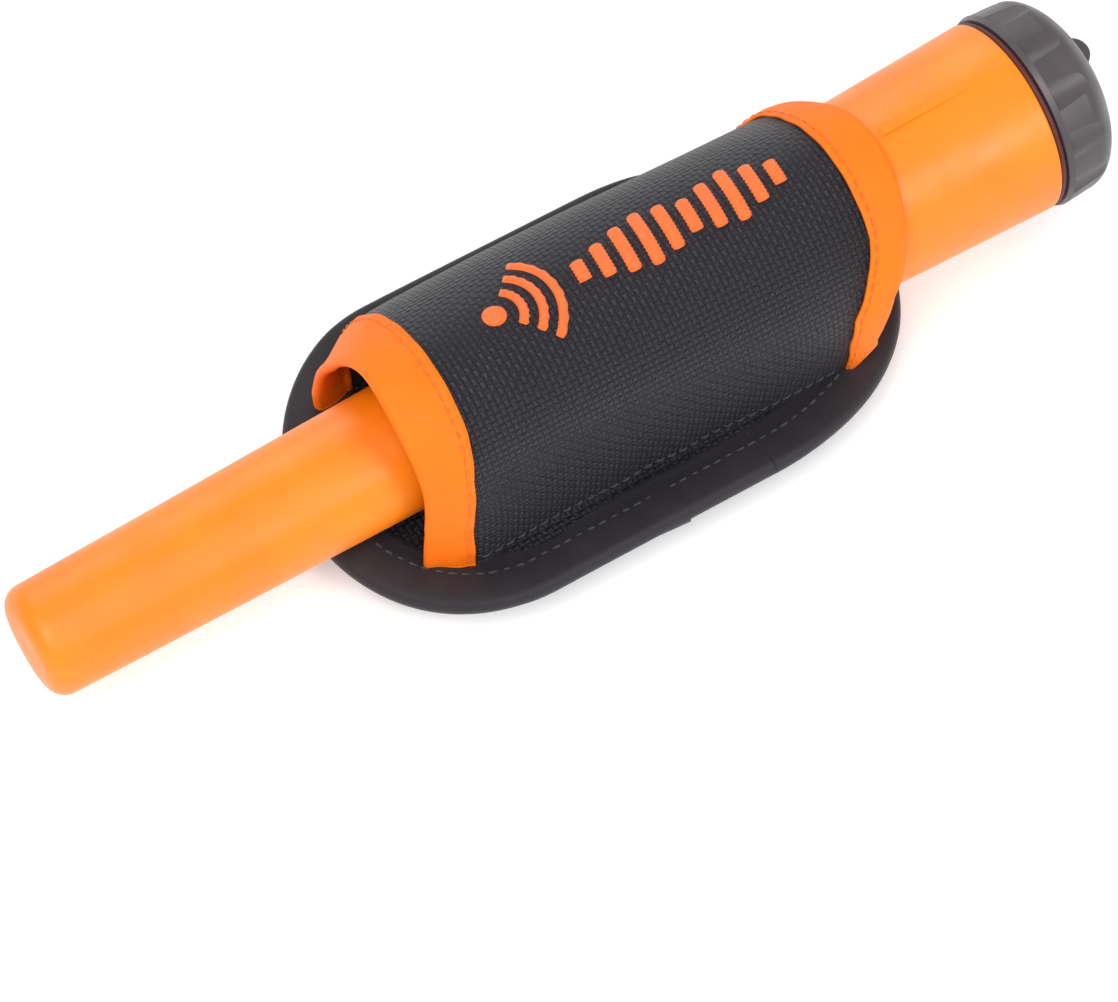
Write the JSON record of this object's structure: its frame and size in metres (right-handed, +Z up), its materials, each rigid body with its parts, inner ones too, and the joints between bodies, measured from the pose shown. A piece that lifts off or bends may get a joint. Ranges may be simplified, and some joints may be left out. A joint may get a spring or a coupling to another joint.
{
  "type": "pinpointer probe",
  "caption": "Hand-held metal pinpointer probe with a tapered nose, flared handle and screw battery cap, sheathed in a padded belt holster with an open-ended sewn sleeve.",
  "frame": {"origin": "middle of the belt loop's outer face, which the holster lies on", "axes": "+X along the holster from the nose end to the cap end, +Z up out of the back panel through the sleeve, +Y to the left of +X; the probe's axis lies in the XZ plane and climbs 2.8 degrees towards the cap"},
  "size_m": [0.2465, 0.0724, 0.0529],
  "materials": {
    "orange_housing": "satin",
    "cap_plastic": "satin",
    "seal_rubber": "matte",
    "foam": "matte",
    "battery_case": "satin",
    "nickel": "bright",
    "lead_wire": "satin",
    "ferrite": "matte",
    "copper_wire": "bright",
    "inner_plastic": "matte",
    "circuit_board": "satin",
    "component_case": "matte",
    "button_plastic": "satin",
    "clear_plastic": "polished",
    "black_nylon": "woven",
    "black_tape": "woven",
    "orange_ribbon": "woven"
  },
  "bodies": {
    "holster": {"back_panel": "black_nylon", "panel_edge_binding": "black_tape", "holster_sleeve": "black_nylon", "tip_mouth_binding": "orange_ribbon", "handle_mouth_binding": "orange_ribbon", "belt_loop": "black_tape"},
    "probe": {"probe_housing": "orange_housing", "cap_o_ring": "seal_rubber", "battery_9v": "battery_case", "battery_terminals": "nickel", "battery_bulkhead": "inner_plastic", "battery_contacts": "nickel", "battery_leads": "lead_wire", "nose_foam": "foam", "ferrite_rod": "ferrite", "coil_former": "inner_plastic", "transmit_winding": "copper_wire", "receive_winding": "copper_wire", "coil_leads": "lead_wire", "chassis": "inner_plastic", "main_board": "circuit_board", "board_screws": "nickel", "board_components": "component_case", "vibration_motor": "nickel", "piezo_sounder": "inner_plastic", "tactile_switch": "component_case", "button_seal": "seal_rubber", "status_led": "clear_plastic", "status_lens": "clear_plastic"},
    "cap_pad": {"cap_foam_pad": "foam"},
    "cap": {"battery_cap": "cap_plastic"},
    "button": {"power_button": "button_plastic"},
    "motor_rotor": {"motor_weight": "nickel"}
  },
  "joints": [
    {"name": "probe_draw", "type": "slide", "parent": "holster", "child": "probe", "axis": [0.9988, 0, 0.0488], "range_m": [0, 0.2]},
    {"name": "cap_lift", "type": "slide", "parent": "probe", "child": "cap_pad", "axis": [0.9988, 0, 0.0488], "range_m": [0, 0.006]},
    {"name": "cap_turn", "type": "hinge", "parent": "cap_pad", "child": "cap", "pos_m": [0.10871, 0, 0.03182], "axis": [0.9988, 0, 0.0488], "range_deg": [0, 720]},
    {"name": "button_press", "type": "slide", "parent": "probe", "child": "button", "axis": [0.0488, 0, -0.9988], "range_m": [0, 0.0008], "stiffness_N_per_m": 3000},
    {"name": "motor_spin", "type": "hinge", "parent": "probe", "child": "motor_rotor", "pos_m": [-0.00434, 0, 0.0302], "axis": [0.9988, 0, 0.0488], "continuous": true}
  ],
  "couplings": [
    {"joint": "cap_turn", "follows": "cap_lift", "rad_per_m": 2094.4}
  ]
}
